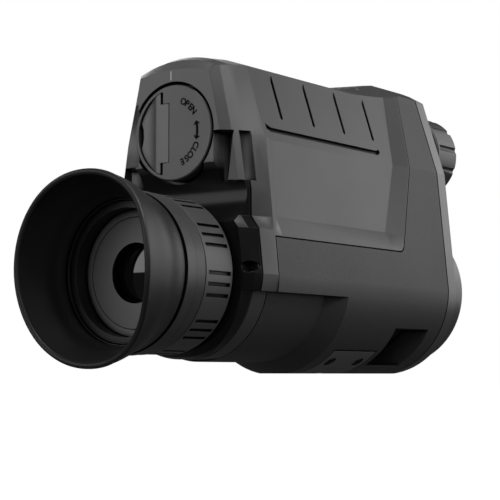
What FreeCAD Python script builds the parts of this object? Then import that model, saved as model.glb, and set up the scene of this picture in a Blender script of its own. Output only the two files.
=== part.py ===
import FreeCAD, Part
import math
import os
import re

import Sketcher
from FreeCAD import Placement, Rotation, Vector

# A hand-held thermal imaging monocular. +Y is the line of sight, +X the user's right, +Z up.
# The origin is the mouth of the tripod socket, in the flat base. Lengths are in millimetres.

DOC = FreeCAD.newDocument("ThermalMonocular")
SHEET = DOC.addObject("Spreadsheet::Sheet", "Sizes")

SIZES = {
    # fits
    "slide_gap": 0.2, "seam_gap": 0.35, "bond_gap": 0.05,
    # optical axis and the outline of the body, rear to front
    "axis_z": 25.0, "crease_z": 60.5,
    "rear_face_y": -61.0, "rear_edge_y": -58.8, "rear_seam_y": -56.3, "shoulder_y": -50.5,
    "rear_base_z": 3.6, "rear_foot": 2.0,
    "ramp_start_y": 3.0, "ramp_end_y": 22.0, "block_y": 28.0, "front_seam_y": 39.7,
    "bezel_edge_y": 44.6, "front_face_y": 47.0, "gasket_thick": 0.5,
    "belly_radius": 25.4, "crease_half": 21.8, "corner_half": 15.6, "low_corner_z": 79.8,
    "low_apex_z": 83.2, "high_corner_z": 83.4, "high_apex_z": 87.0, "hump_apex_z": 86.6,
    "hump_corner_z": 79.3, "crown_break": 9.4, "hump_break_z": 86.1,
    "waist_top_z": 46.5, "waist_low_z": 39.8, "waist_foot_z": 36.6, "waist_half": 20.9,
    "waist_foot_half": 23.4, "channel_radius": 9.5, "channel_y": -66.5, "channel_z": 46.0,
    # walls of the housing and the rubber over it
    "armour_thick": 1.6, "shell_wall": 2.2, "armour_rear_y": -49.7, "armour_top_z": 34.7,
    "seam_low_y": 14.9, "seam_mid_y": 23.2, "seam_high_y": 28.4, "seam_corner": 2.6,
    # side panel: a shallow recess with bevels, one long groove and four short ones
    "recess_depth": 1.6, "recess_floor_z": 40.2, "recess_rear_y": -46.6, "bevel_rear": 2.6,
    "bevel_front_low": 8.0, "bevel_front_high": 5.2, "bevel_edge": 0.6,
    "groove_width": 1.25, "groove_depth": 0.8, "groove_first_y": -37.7, "groove_pitch": 15.5,
    "groove_low_z": 67.6, "long_groove_z": 63.4, "long_groove_rear_y": -48.0, "long_groove_end_y": 9.0,
    # finger scoop, strap pocket and its bar
    "scoop_radius": 22.0, "scoop_top_z": 20.7, "scoop_flat_y": -23.0, "scoop_end_y": -15.0,
    "pocket_radius": 18.0, "pocket_rear_y": 13.5, "pocket_front_y": 32.3, "pocket_top_z": 13.0,
    "bar_thick": 2.5,
    # lanyard slots
    "slot_inner_x": 12.85, "slot_outer_x": 17.3, "slot_low_z": 48.9, "slot_high_z": 61.8,
    "slot_front_y": -54.2, "slot_side_y": -57.2,
    "slot_left_high_z": 54.2, "thumb_radius": 19.3, "thumb_y": -78.4, "thumb_inner_x": 12.0,
    # eyepiece
    "cup_tip_y": -103.0, "cup_tip_radius": 25.8, "cup_rim_y": -93.0, "cup_rim_radius": 24.2,
    "cup_fold_y": -85.0, "cup_fold_radius": 20.8, "cup_root_y": -81.2, "cup_wall": 1.5,
    "ring_radius": 20.3, "ring_step_y": -78.0, "ring_rear_y": -73.9, "ring_front_y": -62.3,
    "barrel_radius": 17.8, "barrel_wall": 1.7, "barrel_rear_y": -80.4,
    "flange_radius": 18.6, "flange_thick": 2.0,
    "cell_rear_y": -76.3, "cell_front_y": -57.5, "cell_lip": 1.9, "retainer_thick": 1.2,
    "eye_opening": 7.6, "eye_lens_radius": 9.0, "eye_lens_thick": 5.0, "field_lens_thick": 4.0,
    "spacer_length": 4.0, "lens_seat": 1.0,
    "grip_groups": 10.0, "grip_group_angle": 36.0, "grip_groove_angle": 8.0, "grip_first_angle": -9.0,
    "grip_groove": 1.0, "grip_land": 1.3,
    "display_y": -46.0, "display_wide": 16.0, "display_high": 13.0, "display_thick": 2.4,
    # battery, its tube and its cap
    "cell_x": -0.4, "cell_z": 62.4, "cell_radius": 9.2, "cell_length": 65.0, "cell_rear": -49.5,
    "spring_foot_radius": 6.0, "spring_foot_thick": 0.4, "spring_radius": 4.6, "spring_step": 0.9,
    "spring_wire": 0.42, "tube_gap": 0.4, "tube_wall": 1.0, "tube_rear_y": -52.6, "tube_front_y": 20.1,
    "cap_radius": 12.6, "cap_gap": 0.7, "cap_depth": 4.4, "plug_gap": 0.6, "plug_length": 4.6,
    "cap_seal_wire": 1.2, "handle_radius": 11.4, "handle_thick": 1.3,
    "handle_line": 4.1, "handle_half": 10.7, "tongue_reach": 1.4, "tongue_half": 7.7,
    "handle_axis": 2.5, "dish_radius": 16.0, "dish_depth": 0.55, "pin_radius": 0.4, "notch_depth": 1.3,
    "notch_half": 4.3,
    # objective end
    "objective_radius": 15.9, "objective_wall": 1.4, "objective_rear_y": 14.0,
    "lens_radius": 17.4, "lens_ring_radius": 21.9, "lens_ring_front_y": 55.2, "lens_clear": 16.0,
    "focus_cell_rear_y": 18.5, "focus_cell_front_y": 30.0, "rear_lens_radius": 11.6,
    "knob_x": 5.0, "knob_z": 68.3, "knob_radius": 12.5, "knob_rear_y": 48.2, "knob_front_y": 60.8,
    "knob_grooves": 12.0, "knob_groove_turn": 22.0, "shaft_radius": 2.0, "shaft_rear_y": 23.0,
    "collar_radius": 5.0,
    "finder_x": 14.5, "finder_z": 51.0, "finder_radius": 3.6, "window_low_z": 46.4,
    "window_high_z": 59.0, "window_half": 19.9, "window_thick": 1.0, "window_proud": 1.0,
    # sensor, shutter and boards
    "sensor_y": 2.0, "sensor_side": 12.0, "sensor_thick": 2.6, "board_thick": 1.2,
    "shutter_y": 8.6, "shutter_thick": 0.5, "shutter_x": -13.5, "shutter_pivot_z": 37.5,
    "main_board_z": 47.4, "main_board_half": 18.2, "rail_half": 17.2, "main_board_rear_y": -47.0,
    "main_board_front_y": 12.0,
    # top panel and buttons
    "panel_half": 7.4, "panel_rear_y": -44.0, "panel_front_y": 0.5, "panel_drop": 0.9,
    "panel_thick": 1.4, "button_radius": 4.4, "button_pitch": 13.0, "button_middle_y": -21.5,
    "button_proud": 0.5,
    # base
    "plate_half": 11.0, "plate_top_z": 6.2, "insert_radius": 5.0, "insert_height": 7.4,
    "thread_radius": 3.175, "thread_depth": 6.2, "plate_screw_y": 7.25, "plate_screw_angle": 58.9,
    "screw_radius": 1.3, "rear_screw_x": 23.0, "rear_screw_rise": 1.7,
    "low_screw_x": 17.0, "low_screw_z": 8.6, "high_screw_x": 10.6, "high_screw_z": 82.6,
    # status light on the slope behind the front block
    "light_x": 10.2, "light_y": 12.4, "light_z": 83.2, "light_radius": 0.55,
    # charging port on the left side
    "port_y": 30.0, "port_z": 50.0, "port_wide": 9.0, "port_high": 3.3, "cover_wide": 13.0, "cover_high": 8.0,
}


def fill_sheet():
    """Each size is one cell of plain text, and its alias is the name that the model uses."""
    for row, (alias, number) in enumerate(SIZES.items(), start=2):
        SHEET.set(f"A{row}", alias)
        SHEET.set(f"B{row}", str(number))
        SHEET.setAlias(f"B{row}", alias)
    DOC.recompute()


fill_sheet()
NODES = []


def size(alias):
    """A size as the sheet holds it now."""
    return float(SHEET.get(alias))


def formula(text):
    """Turns bare size names into references to the sheet."""
    return re.sub(r"[a-z][a-z_]*", lambda word: word.group() if word.group() not in SIZES
                  else "Sizes." + word.group(), str(text))


def bind(thing, **formulas):
    for name, text in formulas.items():
        thing.setExpression(name.replace("__", "."), formula(text))


def place(thing, at):
    for axis, text in zip("xyz", at):
        thing.setExpression("Placement.Base." + axis, formula(text))


def keep(thing, label):
    """Marks a finished sub-part: its label names its file."""
    thing.Label = label
    NODES.append(thing)
    return thing


# ---------------------------------------------------------------- parametric building blocks

def block(name, length, width, height, at):
    thing = DOC.addObject("Part::Box", name)
    bind(thing, Length=length, Width=width, Height=height)
    place(thing, at)
    return thing


TURNS = {"x": Rotation(Vector(0, 1, 0), 90), "y": Rotation(Vector(1, 0, 0), -90), "z": Rotation()}


def rod(name, radius, length, at, along="y"):
    thing = DOC.addObject("Part::Cylinder", name)
    thing.Placement = Placement(Vector(), TURNS[along])
    bind(thing, Radius=radius, Height=length)
    place(thing, at)
    return thing


def torus(name, radius, wire, at, along="y"):
    thing = DOC.addObject("Part::Torus", name)
    thing.Placement = Placement(Vector(), TURNS[along])
    bind(thing, Radius1=radius, Radius2=wire)
    place(thing, at)
    return thing


def fused(name, *pieces):
    thing = DOC.addObject("Part::MultiFuse", name)
    thing.Shapes = list(pieces)
    return thing


def without(name, base, *tools):
    """A base with one or more tools cut away."""
    tool = tools[0] if len(tools) == 1 else fused(name + "_tools", *tools)
    thing = DOC.addObject("Part::Cut", name)
    thing.Base = base
    thing.Tool = tool
    return thing


def shared(name, first, second):
    thing = DOC.addObject("Part::MultiCommon", name)
    thing.Shapes = [first, second]
    return thing


def outline(body, name, role, points):
    """A closed sketch on one of the body's own planes, each corner bound to the sheet."""
    plane = next(part for part in body.Origin.OriginFeatures if part.Role == role)
    sketch = body.newObject("Sketcher::SketchObject", name)
    sketch.AttachmentSupport = [(plane, "")]
    sketch.MapMode = "FlatFace"
    count = len(points)
    spots = [Vector(20 + 9 * math.cos(i * math.tau / count), 9 * math.sin(i * math.tau / count), 0)
             for i in range(count)]
    sketch.addGeometry([Part.LineSegment(spots[i], spots[(i + 1) % count]) for i in range(count)], False)
    rules = [Sketcher.Constraint("Coincident", i, 2, (i + 1) % count, 1) for i in range(count)]
    sketch.addConstraint(rules)
    for i, corner in enumerate(points):
        for kind, line, text in (("DistanceX", -2, corner[0]), ("DistanceY", -1, corner[1])):
            if text == "0":
                sketch.addConstraint(Sketcher.Constraint("PointOnObject", i, 1, line))
                continue
            rule = sketch.addConstraint(Sketcher.Constraint(kind, -1, 1, i, 1, 1.0))
            sketch.setExpression(f"Constraints[{rule}]", formula(text))
    return sketch


def turned(name, points, at=("0", "0", "axis_z"), upright=False):
    """A turned piece: half its section as (radius, station) pairs, spun about the axis."""
    body = DOC.addObject("PartDesign::Body", name)
    body.Label = name
    sketch = outline(body, name + "_section", "XZ_Plane" if upright else "XY_Plane", points)
    spin = body.newObject("PartDesign::Revolution", name + "_turn")
    spin.Profile = sketch
    spin.ReferenceAxis = (sketch, ["V_Axis"])
    spin.Angle = 360
    place(body, at)
    return body


def padded(name, points, thickness, at, role="XZ_Plane"):
    """A flat piece: an outline given a thickness, from the plane towards +Y or +Z."""
    body = DOC.addObject("PartDesign::Body", name)
    body.Label = name
    sketch = outline(body, name + "_outline", role, points)
    pad = body.newObject("PartDesign::Pad", name + "_pad")
    pad.Profile = sketch
    pad.Reversed = role == "XZ_Plane"
    pad.setExpression("Length", formula(thickness))
    place(body, at)
    return body


def rectangle(half_wide, half_high):
    return [(f"-({half_wide})", f"-({half_high})"), (half_wide, f"-({half_high})"),
            (half_wide, half_high), (f"-({half_wide})", half_high)]


# ---------------------------------------------------------------- outline of the body

def side_half(height):
    """Half width of the flat sides, which lean in at the crease."""
    low = (size("crease_half") - size("belly_radius")) / (size("crease_z") - size("axis_z"))
    high = (size("corner_half") - size("crease_half")) / (size("low_corner_z") - size("crease_z"))
    rise = height - size("crease_z")
    return size("crease_half") + rise * (low if rise < 0 else high)


def crown(half, corner_z, apex_z, break_z=None):
    """Top of a section: its corner, its apex and how far the crown drops before the corner."""
    drop = (apex_z - corner_z) * (size("crown_break") / half) ** 2 if break_z is None else apex_z - break_z
    return half, corner_z, apex_z, drop


def station(place_name):
    """Section of the outer skin: y, base, belly radius, waist halves, crease half, corner, apex."""
    waist_heights = [size("waist_foot_z"), size("waist_low_z"), size("waist_top_z")]
    full = [side_half(height) for height in waist_heights]
    corner, corner_z, apex = size("corner_half"), size("low_corner_z"), size("low_apex_z")
    hump_z, high_z, break_z = size("hump_corner_z"), size("high_corner_z"), size("hump_break_z")
    low = crown(corner, corner_z, apex)
    hump = crown(side_half(hump_z), hump_z, size("hump_apex_z"), break_z)
    high = crown(side_half(high_z), high_z, size("high_apex_z"), break_z)
    belly, crease, base = size("belly_radius"), size("crease_half"), size("rear_base_z")
    tight, foot = size("waist_half"), size("waist_foot_half")
    table = {
        "rear_face": (size("rear_face_y"), base + 1.8, belly - 3.0, [tight - 0.2, tight - 3.0, tight - 3.4],
                      crease - 6.8, crown(corner - 4.2, corner_z - 2.2, apex - 4.2)),
        "rear_edge": (size("rear_edge_y"), base + 0.5, belly - 1.4, [foot - 1.2, tight - 1.0, tight - 1.4],
                      crease - 4.5, crown(corner - 2.6, corner_z - 0.9, apex - 1.6)),
        "rear_seam": (size("rear_seam_y"), base, belly - 0.7, [foot, tight, tight],
                      crease - 2.9, crown(corner - 1.5, corner_z - 0.4, apex - 0.5)),
        "shoulder": (size("shoulder_y"), base, belly, full, crease, low),
        "belly_start": (size("armour_rear_y"), 0.0, belly, full, crease, low),
        "ramp_start": (size("ramp_start_y"), 0.0, belly, full, crease, low),
        "ramp_end": (size("ramp_end_y"), 0.0, belly, full, crease, hump),
        "block": (size("block_y"), 0.0, belly, full, crease, high),
        "front_seam": (size("front_seam_y"), 0.0, belly, full, crease, high),
        "bezel_edge": (size("bezel_edge_y"), 0.0, belly - 0.2, [half - 0.2 for half in full], crease - 0.2,
                       (high[0] - 0.2, high[1] - 0.2, high[2] - 0.2, high[3])),
        "front_face": (size("front_face_y"), 1.6, belly - 1.8, [half - 1.8 for half in full], crease - 1.8,
                       (high[0] - 1.6, high[1] - 1.6, high[2] - 1.8, high[3])),
    }
    return table[place_name]


STATIONS = ["rear_face", "rear_edge", "rear_seam", "shoulder", "belly_start", "ramp_start", "ramp_end",
            "block",
            "front_seam", "bezel_edge", "front_face"]


def section(place_name, inset=0.0, y=None):
    """Closed wire of one station, pulled in by inset."""
    at, base, belly, waist, crease, (corner_half, corner_z, apex_z, drop) = station(place_name)
    at = at if y is None else y
    lean = 1.05
    axis, radius = size("axis_z"), belly - inset
    floor = base + inset
    foot = math.sqrt(max(radius ** 2 - (axis - floor) ** 2, 0)) if base < 1 else size("rear_foot")
    corner_z, apex_z = corner_z - inset, apex_z - inset
    corner_half = corner_half - lean * inset + 0.32 * inset
    break_z = apex_z - drop
    heights = [size("waist_foot_z"), size("waist_low_z"), size("waist_top_z")]
    chain = [(foot, floor), (radius, axis)]
    chain += [(half - lean * inset, height) for half, height in zip(waist, heights)]
    chain += [(crease - lean * inset, size("crease_z")), (corner_half, corner_z),
              (size("crown_break"), break_z)]
    right = [Vector(x, at, z) for x, z in chain]
    left = [Vector(-x, at, z) for x, z in chain]
    swing = math.pi / 4
    deep = radius if base < 1 else axis - floor
    reach = Vector(radius * math.sin(swing), at, axis - deep * math.cos(swing))
    edges = [Part.LineSegment(left[0], right[0]), Part.Arc(right[0], reach, right[1])]
    edges += [Part.LineSegment(a, b) for a, b in zip(right[1:-1], right[2:])]
    edges += [Part.Arc(right[-1], Vector(0, at, apex_z), left[-1])]
    edges += [Part.LineSegment(a, b) for a, b in zip(left[:1:-1], left[-2:0:-1])]
    edges += [Part.Arc(left[1], Vector(-reach.x, at, reach.z), left[0])]
    return Part.Wire([edge.toShape() for edge in edges])


def skin(first, last, inset=0.0, start=None, stop=None):
    """Solid inside the outer surface, between two stations."""
    names = STATIONS[STATIONS.index(first):STATIONS.index(last) + 1]
    wires = [section(name, inset) for name in names]
    if start is not None:
        wires[0] = section(first, inset, start)
    if stop is not None:
        wires[-1] = section(last, inset, stop)
    return Part.makeLoft(wires, True, True)


def slab(x, y, z):
    """A box from three (low, high) pairs."""
    return Part.makeBox(x[1] - x[0], y[1] - y[0], z[1] - z[0], Vector(x[0], y[0], z[0]))


def tube_y(radius, start, stop, x=0.0, z=None):
    return Part.makeCylinder(radius, stop - start, Vector(x, start, size("axis_z") if z is None else z),
                             Vector(0, 1, 0))


def prism_x(points, half=60.0):
    """A side-view outline, (y, z) corners, carried right across the body."""
    corners = [Vector(-half, y, z) for y, z in points]
    return Part.Face(Part.makePolygon(corners + corners[:1])).extrude(Vector(2 * half, 0, 0))


def revolved_y(points):
    """A ring about the optical axis from (radius, y) corners."""
    corners = [Vector(radius, y, size("axis_z")) for radius, y in points]
    face = Part.Face(Part.makePolygon(corners + corners[:1]))
    return face.revolve(Vector(0, 0, size("axis_z")), Vector(0, 1, 0), 360)


def scoop(inset):
    """Space taken out under the rear of the belly for the fingers."""
    radius, far = size("scoop_radius") - inset, 45.0
    start = size("rear_face_y") - 9
    flat, end = size("scoop_flat_y") + inset, size("scoop_end_y") + inset
    edge = size("belly_radius") + 0.6
    ring = revolved_y([(radius, start), (radius, flat), (edge, end), (far, end), (far, start)])
    return ring.common(slab((-far, far), (start, end), (-far, size("scoop_top_z") + inset)))


def pocket(inset, through_bar=False):
    """Space for a hand strap, round behind the bar at the bottom."""
    radius, far = size("pocket_radius") - inset, 45.0
    start, stop = size("pocket_rear_y") - inset, size("pocket_front_y") + inset
    low = -far if through_bar else size("bar_thick")
    ring = tube_y(far, start, stop).cut(tube_y(radius, start - 1, stop + 1))
    return ring.common(slab((-far, far), (start, stop), (low, size("pocket_top_z") + inset)))


def rubber_zone(gap):
    """Side-view region that the rubber covers: the belly and a band round the front."""
    top, rear = size("armour_top_z") + gap, size("armour_rear_y") - gap
    low, mid, high = [size(name) - gap for name in ("seam_low_y", "seam_mid_y", "seam_high_y")]
    far = size("front_seam_y") + 2
    zone = prism_x([(rear, -9), (rear, top), (low, top), (mid, size("crease_z")), (high, size("low_apex_z")),
                    (high + 3, 96), (far, 96), (far, -9)])
    corner = [edge for edge in zone.Edges if abs(edge.CenterOfMass.y - low) < 0.01
              and abs(edge.CenterOfMass.z - top) < 0.01]
    return zone.makeFillet(size("seam_corner"), corner)


def recess(side):
    """Shallow recess of one side panel, bevelled at its rear, bottom and front."""
    depth, edge = size("recess_depth"), size("bevel_edge")
    rear_in, rear_out = size("recess_rear_y"), size("recess_rear_y") - size("bevel_rear")
    top, bottom = 92.0, size("armour_top_z") + edge
    slope = (size("seam_high_y") - size("seam_mid_y")) / (size("low_apex_z") - size("crease_z"))
    low_slope = (size("seam_mid_y") - size("seam_low_y")) / (size("crease_z") - size("armour_top_z"))

    def front_out(z):
        rise = z - size("crease_z")
        return size("seam_mid_y") - edge + rise * (slope if rise > 0 else low_slope)

    def bevel(z):
        share = (z - size("recess_floor_z")) / (size("low_corner_z") - size("recess_floor_z"))
        return size("bevel_front_low") + share * (size("bevel_front_high") - size("bevel_front_low"))

    wires = []
    for z, sunk in ((bottom, 0.01), (size("recess_floor_z"), depth), (size("crease_z"), depth), (top, depth)):
        face = side_half(z)
        front_z = max(z, size("recess_floor_z"))
        points = [(face + 3, rear_out), (face + 3, front_out(z)), (face, front_out(z)),
                  (face - 1.05 * sunk, front_out(front_z) - bevel(front_z)), (face - 1.05 * sunk, rear_in),
                  (face, rear_out)]
        corners = [Vector(side * x, y, z) for x, y in points]
        wires.append(Part.makePolygon(corners + corners[:1]))
    return Part.makeLoft(wires, True, True)


def bar_prism(start, stop, width):
    """A round-ended strip between two side-view points, right across the body."""
    half, far = width / 2, 60.0
    run = Vector(0, stop[0] - start[0], stop[1] - start[1])
    across = Vector(1, 0, 0).cross(run).normalize() * half
    a, b = Vector(-far, *start), Vector(-far, *stop)
    strip = Part.Face(Part.makePolygon([a + across, b + across, b - across, a - across, a + across]))
    pieces = [strip.extrude(Vector(2 * far, 0, 0))]
    pieces += [Part.makeCylinder(half, 2 * far, end, Vector(1, 0, 0)) for end in (a, b)]
    return pieces[0].multiFuse(pieces[1:]).removeSplitter()


def panel_grooves():
    """One L-shaped groove and four upright ones, sunk below the recessed panel."""
    width, high = size("groove_width"), size("low_corner_z") + 6
    turn, level, rear = 3.4, size("long_groove_z"), size("long_groove_rear_y")
    path = [(rear, high), (rear, level + turn), (rear + 0.3 * turn, level + 0.3 * turn), (rear + turn, level),
            (size("long_groove_end_y"), level), (size("long_groove_end_y") + 0.9, level + 0.5)]
    strips = [bar_prism(a, b, width) for a, b in zip(path, path[1:])]
    for i in range(4):
        y = size("groove_first_y") + i * size("groove_pitch")
        strips.append(bar_prism((y, high), (y, size("groove_low_z")), width))
    cutter = strips[0].multiFuse(strips[1:])
    cutter = cutter.cut(skin("shoulder", "block", size("recess_depth") + size("groove_depth"), start=-55.0))
    crown = size("crown_break") + 4.6
    return cutter.cut(slab((-crown, crown), (-60, 40), (50, 99)))


# ---------------------------------------------------------------- housing and skins

def slot_top(side):
    """The left slot is short, to leave room for the thumb rest above it."""
    return size("slot_high_z") if side > 0 else size("slot_left_high_z")


def thumb_rest():
    """Shallow hollow across the left rear corner, beside the battery cap."""
    reach = 60.0
    start = Vector(-reach, size("thumb_y"), size("cell_z"))
    return Part.makeCylinder(size("thumb_radius"), reach - size("thumb_inner_x"), start, Vector(1, 0, 0))


def lanyard_space(side):
    """L-shaped way for a cord, from the rear face round to the side."""
    low, high = size("slot_low_z"), slot_top(side)
    inner, outer = size("slot_inner_x"), size("slot_outer_x")
    rear = slab((inner, outer), (-70, size("slot_front_y")), (low, high))
    flank = slab((inner, 40), (size("slot_side_y"), size("slot_front_y")), (low, high))
    both = rear.fuse(flank)
    return both if side > 0 else both.mirror(Vector(), Vector(1, 0, 0))


def lanyard_wall(side):
    """The housing's own wall round the inside of that way."""
    low, high = size("slot_low_z") - 1.4, slot_top(side) + 1.4
    wall = slab((size("slot_inner_x") - 1.2, 30), (size("rear_seam_y"), size("slot_front_y") + 1.4),
                (low, high))
    return wall if side > 0 else wall.mirror(Vector(), Vector(1, 0, 0))


def lanyard_strip(side):
    """Bevelled corner strip, which bridges the lanyard slot as a bar."""
    skin_part = skin("rear_face", "rear_edge")
    low, top = size("slot_low_z") - 0.1, size("low_corner_z")
    fit = size("crease_half") - 6.8
    lean = (size("corner_half") - 4.2 - fit) / (size("low_corner_z") - 2.2 - size("crease_z"))
    waist_lean = (fit - size("waist_half") + 3.4) / (size("crease_z") - size("waist_top_z"))
    low_half = fit - (size("crease_z") - low) * waist_lean
    top_half = fit + (top - size("crease_z")) * lean
    points = [(low_half, low), (fit, size("crease_z")), (top_half, top), (40, top), (40, low)]
    corners = [Vector(side * x, -70, z) for x, z in points]
    wedge = Part.Face(Part.makePolygon(corners + corners[:1])).extrude(Vector(0, 40, 0))
    return skin_part.common(wedge)


def cap_bore():
    """Radius of the well that the battery cap sits in."""
    return size("cap_radius") + size("cap_gap")


def battery_axis_tube(radius, start, stop):
    return tube_y(radius, start, stop, size("cell_x"), size("cell_z"))


def channel():
    """Concave channel across the back, between the battery and the eyepiece."""
    return Part.makeCylinder(size("channel_radius"), 120, Vector(-60, size("channel_y"), size("channel_z")),
                             Vector(1, 0, 0))


def rear_housing_shape():
    seam, edge = size("rear_seam_y"), size("rear_edge_y")
    shape = skin("rear_face", "rear_seam")
    shape = shape.cut(slab((-40, 40), (edge, seam + 1), (size("slot_low_z"), 99)))
    spigot_end = size("tube_rear_y") - 0.4
    spigot = skin("rear_edge", "shoulder", size("shell_wall") + size("armour_thick") + 0.15, start=edge - 0.5)
    spigot = spigot.common(slab((-40, 40), (edge - 0.5, spigot_end), (size("axis_z"), 99)))
    hollow = skin("rear_seam", "shoulder", size("shell_wall") + size("armour_thick") + 2.0, start=seam + 0.8)
    shape = shape.fuse(spigot).cut(hollow.cut(battery_axis_tube(cap_bore() + 1.6, -80, 0)))
    shape = shape.cut(channel())
    cap_floor = size("rear_face_y") + size("cap_depth") + 0.25
    shape = shape.cut(battery_axis_tube(cap_bore(), -80, cap_floor))
    shape = shape.cut(battery_axis_tube(size("cell_radius") + size("tube_gap"), -80, 0))
    shape = shape.cut(tube_y(size("barrel_radius") + size("bond_gap"), -80, 0))
    flange_face = size("rear_seam_y") + 0.6
    shape = shape.cut(tube_y(size("flange_radius") + 0.1, flange_face, 0))
    shape = shape.cut(thumb_rest()).cut(scoop(0))
    for side in (1, -1):
        shape = shape.cut(lanyard_space(side)).cut(lanyard_strip(side))
        shape = shape.cut(lanyard_wall(side))
        screw = Vector(side * size("rear_screw_x"), -80, size("axis_z") + size("rear_screw_rise"))
        shape = shape.cut(Part.makeCylinder(size("screw_radius") + 0.1, 60, screw, Vector(0, 1, 0)))
    return shape


def housing_shape():
    gasket = size("gasket_thick")
    seam = size("rear_seam_y")
    stop = size("front_seam_y") - gasket
    lower_back = slab((-40, 40), (-70, seam + gasket), (-9, size("slot_low_z")))
    shape = skin("rear_edge", "front_seam", stop=stop).cut(lower_back)
    shape = shape.cut(scoop(0)).cut(pocket(0))
    backing = skin("shoulder", "front_seam", size("armour_thick") + size("bond_gap"), start=-55.0,
                   stop=stop + 3)
    backing = backing.cut(scoop(size("armour_thick") + size("bond_gap"))).cut(pocket(0))
    shape = shape.cut(rubber_zone(size("seam_gap")).cut(backing))
    inset = size("armour_thick") + size("shell_wall")
    inside = skin("rear_edge", "front_seam", inset, start=-61.0, stop=stop + 3)
    inside = inside.cut(scoop(inset)).cut(pocket(1.5, True))
    for side in (1, -1):
        inside = inside.cut(lanyard_wall(side))
    shape = shape.cut(inside)
    for side in (1, -1):
        shape = shape.cut(recess(side)).cut(lanyard_space(side))
    shape = shape.cut(panel_grooves())
    shape = shape.cut(panel_space(0.1)).cut(slab((-6.4, 6.4),
                                                 (size("panel_rear_y") + 1.5, size("panel_front_y") - 1.5),
                                                 (70, 99)))
    shape = shape.cut(base_space(0.05)).cut(port_space())
    shape = shape.cut(battery_axis_tube(cap_bore() + 1.7, -80, size("slot_front_y") - 2.5))
    flange_end = size("rear_seam_y") + 0.6 + size("flange_thick")
    shape = shape.cut(tube_y(size("flange_radius") + 0.1, -80, flange_end + 0.1)).cut(thumb_rest())
    shape = shape.cut(tube_y(size("barrel_radius") + 0.1, -80, size("display_y") + 4.0))
    for side in (1, -1):
        shape = shape.fuse(board_rail(side))
    for spot in bezel_screw_spots() + rear_screw_spots():
        thread = size("screw_radius") * 0.92 + 0.03
        shape = shape.cut(Part.makeCylinder(thread, 9, spot - Vector(0, 9 if spot.y > 0 else 0, 0),
                                            Vector(0, 1, 0)))
    shape = shape.cut(Part.makeCylinder(size("insert_radius") + 0.05, 20, Vector(0, 0, -5)))
    for screw in plate_screw_spots():
        shape = shape.cut(screw_hole(*screw, size("screw_radius") * 0.8 + 0.05))
    return shape.cut(led_space(0.05))


def armour_shape():
    gasket = size("gasket_thick")
    stop = size("front_seam_y") - gasket
    shape = skin("shoulder", "front_seam", stop=stop).cut(scoop(0)).cut(pocket(0))
    shape = shape.common(rubber_zone(0))
    core = skin("shoulder", "front_seam", size("armour_thick"), start=-55.0, stop=stop + 3)
    core = core.cut(scoop(size("armour_thick"))).cut(pocket(0))
    shape = shape.cut(core).cut(base_space(size("seam_gap"))).cut(cover_space(size("seam_gap")))
    return max(shape.Solids, key=lambda solid: solid.Volume)


def base_space(gap):
    """Room for the saddle plate, in the rubber and the housing under it."""
    half, top = size("plate_half") + gap, size("plate_top_z") + gap
    region = slab((-40, 40), (-half, half), (-9, top))
    return region.cut(skin("shoulder", "front_seam", size("armour_thick") - size("bond_gap") + gap / 2))


def plate_shape():
    half, top = size("plate_half"), size("plate_top_z")
    region = slab((-40, 40), (-half, half), (-9, top)).common(skin("shoulder", "front_seam"))
    shape = region.cut(skin("shoulder", "front_seam", size("armour_thick") - 0.1))
    shape = shape.cut(Part.makeCylinder(size("insert_radius") + 0.05, 20, Vector(0, 0, -5)))
    for screw in plate_screw_spots():
        shape = shape.cut(screw_hole(*screw, size("screw_radius") + 0.6))
    return shape


def plate_screw_spots():
    """Screws through the flanks of the saddle plate: (y, side)."""
    y = size("plate_screw_y")
    return [(-y, 1), (y, 1), (-y, -1), (y, -1)]


def screw_hole(y, side, radius, start=14.0, stop=40.0):
    angle = math.radians(size("plate_screw_angle"))
    out = Vector(side * math.cos(angle), 0, -math.sin(angle))
    return Part.makeCylinder(radius, stop - start, Vector(0, y, size("axis_z")) + out * start, out)


def plate_screws_shape():
    """Four countersunk screws, each with a cross recess."""
    radius, surface = size("screw_radius"), size("belly_radius") - 0.35
    screws = []
    for y, side in plate_screw_spots():
        screw = screw_hole(y, side, radius * 0.8, surface - 4.6, surface - 0.9)
        screw = screw.fuse(screw_hole(y, side, radius + 0.5, surface - 1.2, surface))
        screws.append(screw.cut(screw_hole(y, side, radius * 0.45, surface - 0.7,
                                           surface + 1)).removeSplitter())
    return Part.makeCompound(screws)


def panel_space(gap):
    """Room for the button panel, sunk in the crown of the top."""
    half = size("panel_half") + gap
    return slab((-half, half), (size("panel_rear_y") - gap, size("panel_front_y") + gap),
                (size("low_apex_z") - size("panel_drop") - size("panel_thick") - gap, 99))


def led_space(gap):
    out = Vector(0.545, -0.15, 0.825)
    mouth = Vector(size("light_x"), size("light_y"), size("light_z"))
    return Part.makeCylinder(size("light_radius") + gap, 9, mouth - out * 5.5, out)


def cover_space(gap):
    """Room in the rubber for the flap over the charging port."""
    wide, high = size("cover_wide") / 2 + gap, size("cover_high") / 2 + gap
    return slab((-60, 0), (size("port_y") - wide, size("port_y") + wide - 1.0),
                (size("port_z") - high, size("port_z") + high))


def port_space():
    wide, high = size("port_wide") / 2 + 0.9, size("port_high") / 2 + 0.9
    return slab((-60, -10), (size("port_y") - wide, size("port_y") + wide),
                (size("port_z") - high, size("port_z") + high))


def gasket_shape(name, y, y_end, inner_skin):
    ring = Part.Face(section(name, 0.35, y)).extrude(Vector(0, y_end - y, 0))
    for spot in bezel_screw_spots() + rear_screw_spots():
        hole = Vector(spot.x, y - 1, spot.z)
        ring = ring.cut(Part.makeCylinder(size("screw_radius"), y_end - y + 2, hole, Vector(0, 1, 0)))
    return ring.cut(Part.Face(section(name, inner_skin, y - 1)).extrude(Vector(0, y_end - y + 2, 0)))


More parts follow.
